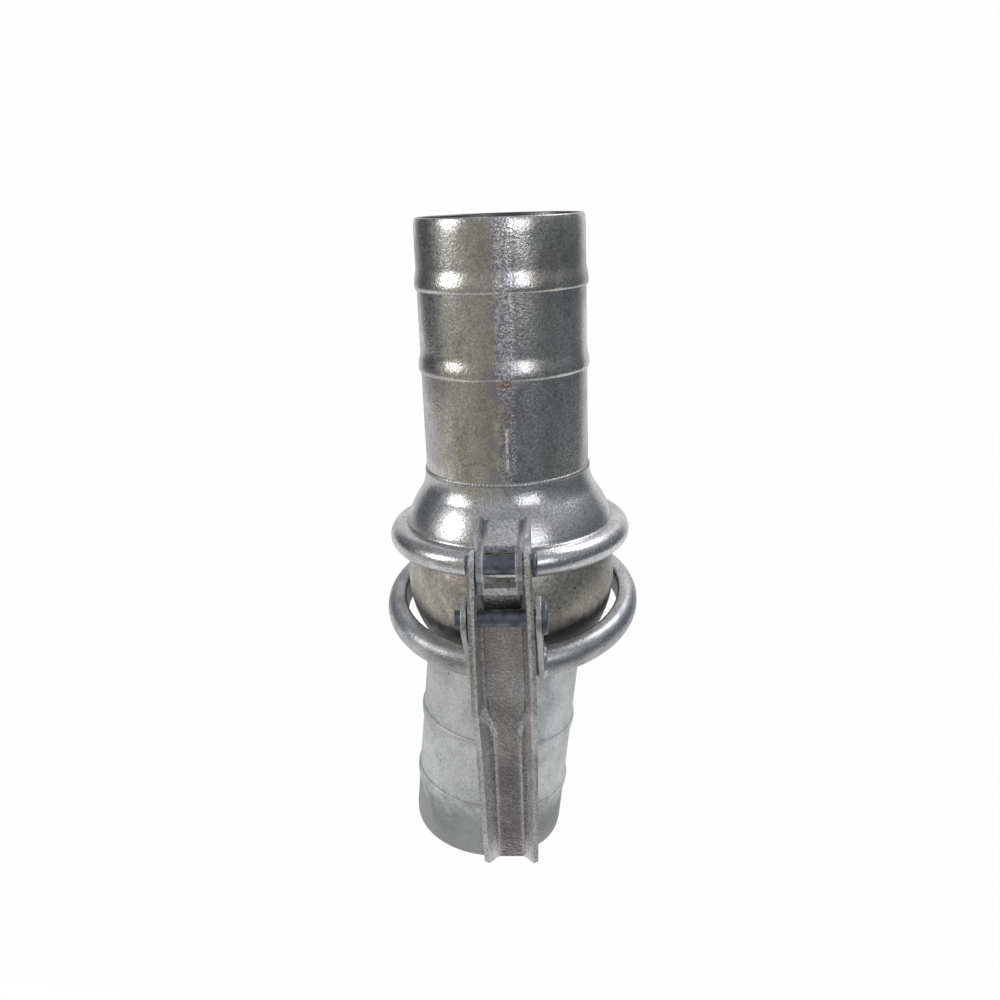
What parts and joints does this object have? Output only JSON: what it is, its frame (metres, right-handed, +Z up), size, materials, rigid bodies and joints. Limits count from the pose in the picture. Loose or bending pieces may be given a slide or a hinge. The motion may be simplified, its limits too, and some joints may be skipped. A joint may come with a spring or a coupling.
{
  "type": "lever-ring ball coupling",
  "caption": "Steel ball-and-socket hose coupling with two ribbed hose tails, a closing ring, rear claws and a channel lever with its clasp hook.",
  "frame": {"origin": "centre of the lower hose tail's open end, on its axis", "axes": "+Z up along the lower tail's axis; the lever hangs on the -Y side; +X to the right of someone who faces the lever"},
  "size_m": [0.173, 0.2227, 0.4449],
  "materials": {
    "galvanised_steel": "hot-dip galvanised, satin with a fine mottle",
    "bright_zinc_steel": "bright galvanised, semi-gloss with small sparkles",
    "weld_steel": "galvanised weld bead, satin",
    "pin_steel": "plain pin, dulled zinc",
    "seal_rubber": "black moulded rubber"
  },
  "bodies": {
    "lower_half": {"lower_hose_tail": "galvanised_steel", "ball_head": "galvanised_steel", "lower_neck_weld": "weld_steel"},
    "seal": {"socket_seal": "seal_rubber"},
    "upper_half": {"upper_hose_tail": "bright_zinc_steel", "socket_bell": "bright_zinc_steel", "upper_neck_weld": "weld_steel"},
    "ring_group": {"closure_ring": "galvanised_steel", "left_ear": "galvanised_steel", "right_ear": "galvanised_steel", "left_ear_weld": "weld_steel", "right_ear_weld": "weld_steel", "left_rear_claw": "galvanised_steel", "right_rear_claw": "galvanised_steel", "left_claw_weld": "weld_steel", "right_claw_weld": "weld_steel", "lever_pin": "pin_steel"},
    "lever": {"lever_handle": "bright_zinc_steel", "hook_pin": "pin_steel"},
    "hook": {"clasp_hook": "galvanised_steel"}
  },
  "joints": [
    {"name": "articulation", "type": "hinge", "parent": "lower_half", "child": "seal", "pos_m": [0, 0, 0.203], "axis": [-0.4384, -0.8988, 0], "range_deg": [-10, 4.4]},
    {"name": "swivel", "type": "hinge", "parent": "seal", "child": "upper_half", "pos_m": [0, 0, 0.203], "axis": [-0.1189, 0.058, 0.9912], "continuous": true},
    {"name": "ring_rise", "type": "hinge", "parent": "seal", "child": "ring_group", "pos_m": [-0.00352, 0.05702, 0.23072], "axis": [-0.9929, -0.0035, -0.1189], "range_deg": [0, 5]},
    {"name": "lever_swing", "type": "hinge", "parent": "ring_group", "child": "lever", "pos_m": [-0.00259, -0.12213, 0.22816], "axis": [-0.9929, -0.0035, -0.1189], "range_deg": [0, 58]},
    {"name": "hook_lift", "type": "hinge", "parent": "lever", "child": "hook", "pos_m": [-0.00659, -0.12214, 0.26162], "axis": [-0.9929, -0.0035, -0.1189], "range_deg": [-162.4, 0]}
  ],
  "couplings": [
    {"joint": "hook_lift", "follows": "lever_swing", "ratio": -2.8}
  ]
}
